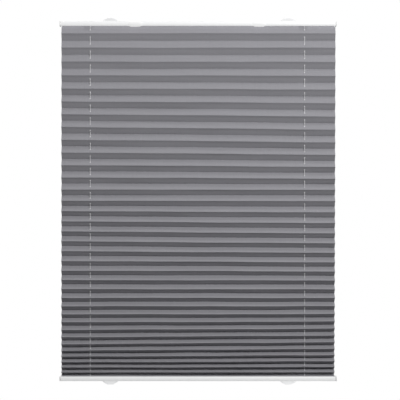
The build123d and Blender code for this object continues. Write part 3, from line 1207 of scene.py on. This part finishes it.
def tube(path, radius, sides, sideways, closed=False):
    """Rings round each point of a path, their faces and their map.

    Sideways is a unit vector across the path at each point. The circle is radius times (cos a times
    sideways plus sin a times the path's direction crossed with sideways). The radius is one number, or
    one for each point."""
    path = np.asarray(path, float)
    sideways = np.broadcast_to(sideways, path.shape)
    radii = np.broadcast_to(radius, len(path))[:, None, None]
    if closed:
        heading = unit(np.roll(path, -1, 0) - np.roll(path, 1, 0))
    else:
        heading = unit(np.gradient(path, axis=0))
    other = np.cross(heading, sideways)
    a = np.linspace(0, 2 * math.pi, sides, endpoint=False)[None, :, None]
    rings = path[:, None] + radii * (np.cos(a) * sideways[:, None] + np.sin(a) * other[:, None])
    lengths = np.concatenate([[0], np.cumsum(np.linalg.norm(np.diff(path, axis=0), axis=1))])
    round_map = np.arange(sides) / sides * 2 * math.pi * np.min(radius)
    uv = np.stack(np.meshgrid(lengths, round_map, indexing="ij")[::-1], -1)
    return rings, ring_faces(len(path), sides, closed), uv


def joined_tubes(tubes):
    """Several tubes as one (points, faces), with one map."""
    uv = np.concatenate([part[2].reshape(-1, 2) for part in tubes])
    return joined(*[part[:2] for part in tubes]), uv


print("tubes can be made")

# %% [markdown]
# A spring in the top rail pulls each cord taut. Its path is a helix, worked out as one array of 140
# turns with few sides each, because what repeats so often must stay light. Each end has a ring, where
# the cord is tied.

# %% Tension springs
wire_radius = 0.22 * mm
wire_sides = 6
coil_turns = 140
steps_per_turn = 10
eye_radius = 1.2 * mm
eye_points = 24
spring_length = 90.0 * mm
spring_radius = 1.6 * mm


def spring_centre(word):
    """The middle of a spring's node, in the rail's own frame."""
    low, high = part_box(f"tension_spring_{word}")
    return np.array([(low[i] + high[i]) / 2 for i in range(3)]) - np.array([0, 0, rail_high.z])


def spring(centre):
    """A close-wound helix along X with a ring at each end for its cord.

    At angle t it lies at the coil's radius times (cos t, sin t) from its axis, and climbs evenly."""
    turn = np.linspace(0, 2 * math.pi * coil_turns, coil_turns * steps_per_turn + 1)
    coil = spring_radius - wire_radius
    spoke = np.stack([np.zeros_like(turn), np.cos(turn), np.sin(turn)], 1)
    x = np.linspace(-spring_length / 2, spring_length / 2, len(turn))
    path = centre + coil * spoke + np.outer(x, [1, 0, 0])
    parts = [tube(path, wire_radius, wire_sides, spoke)]
    bend = np.linspace(0, 2 * math.pi, eye_points, endpoint=False)
    ring = np.stack([np.cos(bend), np.zeros_like(bend), np.sin(bend)], 1)
    for end in (-1, 1):
        middle = centre + np.array([end * (spring_length / 2 + eye_radius), 0, 0])
        parts.append(tube(middle + eye_radius * ring, wire_radius, wire_sides, ring, closed=True))
    return joined_tubes(parts)


for word in ("front", "back"):
    shape, uv = spring(spring_centre(word))
    on_rail(f"tension_spring_{word}", "top", shape, steel_finish.material, uv, crisp_tube)
print("springs done")

# %% [markdown]
# The two upright cords hold the whole blind up, and each ends in a knot inside its shoes. A real knot
# could be tied as one more path, but the shoe hides it, so it is drawn as a swelling of the cord: half
# an ellipse on each side of its middle.

# %% Upright cords
knot_radius = 1.15 * mm
knot_steps = 9
cord_sides = 12


def knotted_cord(name):
    """The upright cord of a node: its two knots, and one straight run between them.

    At share s from -1 to 1 of a knot, its radius is that of the knot times the root of 1 - s^2, but
    nowhere less than the cord's, apart from the two ends, which taper to half of it."""
    low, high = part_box(name)
    middle_x, middle_y = (low.x + high.x) / 2, (low.y + high.y) / 2
    swell = np.linspace(-1, 1, knot_steps)
    knot = np.maximum(knot_radius * np.sqrt(1 - swell**2), cord_radius / 2)
    knot[1:-1] = np.maximum(knot[1:-1], cord_radius)
    levels = np.concatenate([low.z + knot_radius * (1 + swell), high.z - knot_radius * (1 - swell)])
    levels = np.insert(levels, knot_steps, levels[knot_steps - 1] + cord_radius)
    levels = np.insert(levels, knot_steps + 1, levels[knot_steps + 1] - cord_radius)
    radii = np.concatenate([knot, [cord_radius, cord_radius], knot])
    path = np.column_stack([np.full(len(levels), middle_x), np.full(len(levels), middle_y), levels])
    return tube(path, radii, cord_sides, (1.0, 0.0, 0.0))


for word in side_words:
    shape_points, shape_faces, uv = knotted_cord(f"{word}_cord")
    piece = new_piece(f"{word}_cord_shown", shape_points, shape_faces, uv, crisp_tube)
    piece.data.materials.append(braid_finish.material)
    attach(piece, "cord_set")
    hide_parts(f"{word}_cord")
print("upright cords done")

# %% [markdown]
# The cross cords run inside the rails and keep them level. They are taut, so each is straight from guide
# to guide, or in the top rail from guide to spring.


# %% Cross cords
def cross_cord_runs(rail, word):
    """The ends of each straight stretch, in the rail's own frame."""
    low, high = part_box(f"bottom_cross_cord_{word}")
    aside, level = (low.y + high.y) / 2, bottom_low.z - (low.z + high.z) / 2
    left, right = np.array([low.x, aside, level]), np.array([high.x, aside, level])
    if rail == "bottom":
        return [(left, right)]
    reach = np.array([spring_length / 2 + 2 * eye_radius, 0, 0])
    return [(left, spring_centre(word) - reach), (spring_centre(word) + reach, right)]


for rail in rail_words:
    for word in ("front", "back"):
        ends = cross_cord_runs(rail, word)
        shape, uv = joined_tubes([tube(run, cord_radius, cord_sides, (0.0, 1.0, 0.0)) for run in ends])
        name = f"{rail}_cross_cord_{word}"
        on_rail(name, rail, shape, braid_finish.material, uv, crisp_tube)
print("cross cords done")

# %% [markdown]
# ## Pieces that keep their plain shape
#
# The slats, the cord guides and the shoes lie inside the rails, where little light comes. Their plain
# solids already have the true form, so they only get a finish.

# %% Finishes of the slats, guides and shoes
plain_pieces = {"slat": slat_plastic, "guide_left": guide_plastic, "guide_right": guide_plastic}
finishes = {f"{rail}_{name}": finish for rail in rail_words for name, finish in plain_pieces.items()}
finishes |= {f"shoe_{rail}_{word}": shoe_plastic for rail in rail_words for word in side_words}
for name, finish in finishes.items():
    node = frame["nodes"][name]
    node.data.materials.clear()
    node.data.materials.append(finish)
print("nodes that keep their shape:", len(finishes))

# %% [markdown]
# ## No shadow from the top rail
#
# In the photograph the cloth is as bright right under the top rail as it is further down, so the lamps
# there reach past the rail. The pieces of the top rail cast no shadow here, to give the same light.

# %% Pieces without a shadow
shadowless = [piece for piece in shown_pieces() if body_of(piece) == ["top_rail"]]
for piece in shadowless:
    piece.visible_shadow = False
print("pieces without a shadow:", len(shadowless))
